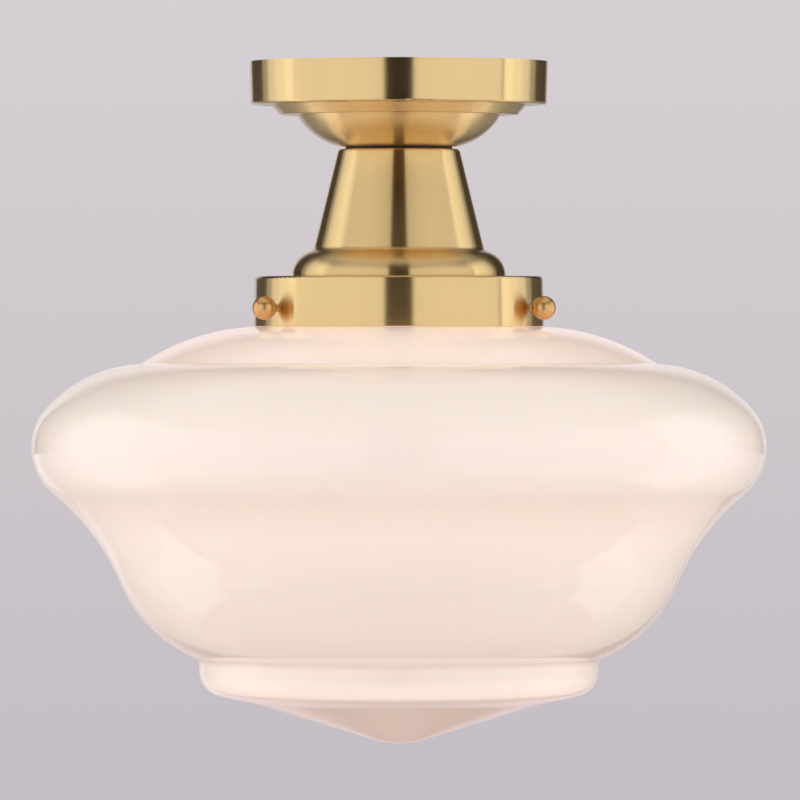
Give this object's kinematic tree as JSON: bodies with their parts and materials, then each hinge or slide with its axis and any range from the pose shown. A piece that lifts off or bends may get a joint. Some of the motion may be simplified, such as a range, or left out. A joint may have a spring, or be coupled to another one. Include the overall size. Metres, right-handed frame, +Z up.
{
  "type": "semi flush ceiling light",
  "caption": "Semi flush ceiling light: stepped brass canopy, tapered neck and fitter over a wide schoolhouse shade of opal glass held by ball-headed thumbscrews.",
  "frame": {"origin": "centre of the ceiling plane, on the light's axis", "axes": "+Z up into the ceiling, -Y towards the viewer between two of the thumbscrews"},
  "size_m": [0.3999, 0.4, 0.371],
  "materials": {
    "satin_brass": "satin, brushed round",
    "polished_brass": "polished",
    "opal_glass": "opal white, glossy",
    "zinc_steel": "zinc plated",
    "cast_iron": "as cast",
    "nylon": "natural nylon",
    "porcelain": "glazed white",
    "contact_brass": "bright rolled",
    "bulb_glass": "frosted white",
    "bulb_metal": "bright",
    "black_glass": "black, glossy",
    "black_insulation": "matt black",
    "white_insulation": "matt white",
    "connector_plastic": "moulded, matt",
    "copper": "bare copper",
    "black_fibre": "black fibre, matt",
    "green_screw": "green dyed"
  },
  "bodies": {
    "root": {"canopy": "satin_brass", "gap_washer": "black_fibre", "neck": "satin_brass", "fitter": "satin_brass", "shade": "opal_glass", "mounting_strap": "zinc_steel", "ground_screw": "green_screw", "strap_nipple": "zinc_steel", "strap_locknut": "zinc_steel", "hickey": "cast_iron", "stem": "zinc_steel", "canopy_washer": "zinc_steel", "canopy_nut": "zinc_steel", "spacer": "zinc_steel", "socket_bracket": "zinc_steel", "bracket_nut": "zinc_steel", "fixing_screws": "zinc_steel", "live_connector": "connector_plastic", "neutral_connector": "connector_plastic", "ground_connector": "connector_plastic", "ground_lead": "copper", "fitter_bosses": "contact_brass", "lampholder_1": "porcelain", "screw_shell_1": "contact_brass", "contact_tongue_1": "contact_brass", "terminal_screws_1": "contact_brass", "live_lead_1": "black_insulation", "neutral_lead_1": "white_insulation", "lampholder_2": "porcelain", "screw_shell_2": "contact_brass", "contact_tongue_2": "contact_brass", "terminal_screws_2": "contact_brass", "live_lead_2": "black_insulation", "neutral_lead_2": "white_insulation"},
    "tip_pad_1": {"tip_pad_1": "nylon"},
    "thumbscrew_1": {"thumbscrew_1": "polished_brass"},
    "tip_pad_2": {"tip_pad_2": "nylon"},
    "thumbscrew_2": {"thumbscrew_2": "polished_brass"},
    "tip_pad_3": {"tip_pad_3": "nylon"},
    "thumbscrew_3": {"thumbscrew_3": "polished_brass"},
    "bulb_1": {"bulb_1_glass": "bulb_glass", "bulb_1_base": "bulb_metal", "bulb_1_insulator": "black_glass", "bulb_1_contact": "bulb_metal"},
    "bulb_2": {"bulb_2_glass": "bulb_glass", "bulb_2_base": "bulb_metal", "bulb_2_insulator": "black_glass", "bulb_2_contact": "bulb_metal"}
  },
  "joints": [
    {"name": "thumbscrew_1_travel", "type": "slide", "parent": "root", "child": "tip_pad_1", "axis": [-0.866, -0.5, 0], "range_m": [0, 0.00476]},
    {"name": "thumbscrew_1_turn", "type": "hinge", "parent": "tip_pad_1", "child": "thumbscrew_1", "pos_m": [-0.07552, -0.0436, -0.1342], "axis": [-0.866, -0.5, 0], "range_deg": [0, 2160]},
    {"name": "thumbscrew_2_travel", "type": "slide", "parent": "root", "child": "tip_pad_2", "axis": [0.866, -0.5, 0], "range_m": [0, 0.00476]},
    {"name": "thumbscrew_2_turn", "type": "hinge", "parent": "tip_pad_2", "child": "thumbscrew_2", "pos_m": [0.07552, -0.0436, -0.1342], "axis": [0.866, -0.5, 0], "range_deg": [0, 2160]},
    {"name": "thumbscrew_3_travel", "type": "slide", "parent": "root", "child": "tip_pad_3", "axis": [0, 1, 0], "range_m": [0, 0.00476]},
    {"name": "thumbscrew_3_turn", "type": "hinge", "parent": "tip_pad_3", "child": "thumbscrew_3", "pos_m": [0, 0.0872, -0.1342], "axis": [0, 1, 0], "range_deg": [0, 2160]},
    {"name": "bulb_1_unscrew", "type": "slide", "parent": "root", "child": "bulb_1", "axis": [0, 0, -1], "range_m": [0, 0.026]},
    {"name": "bulb_2_unscrew", "type": "slide", "parent": "root", "child": "bulb_2", "axis": [0, 0, -1], "range_m": [0, 0.026]}
  ],
  "couplings": [
    {"joint": "thumbscrew_1_travel", "follows": "thumbscrew_1_turn", "m_per_rad": 0.00012633},
    {"joint": "thumbscrew_2_travel", "follows": "thumbscrew_2_turn", "m_per_rad": 0.00012633},
    {"joint": "thumbscrew_3_travel", "follows": "thumbscrew_3_turn", "m_per_rad": 0.00012633}
  ]
}
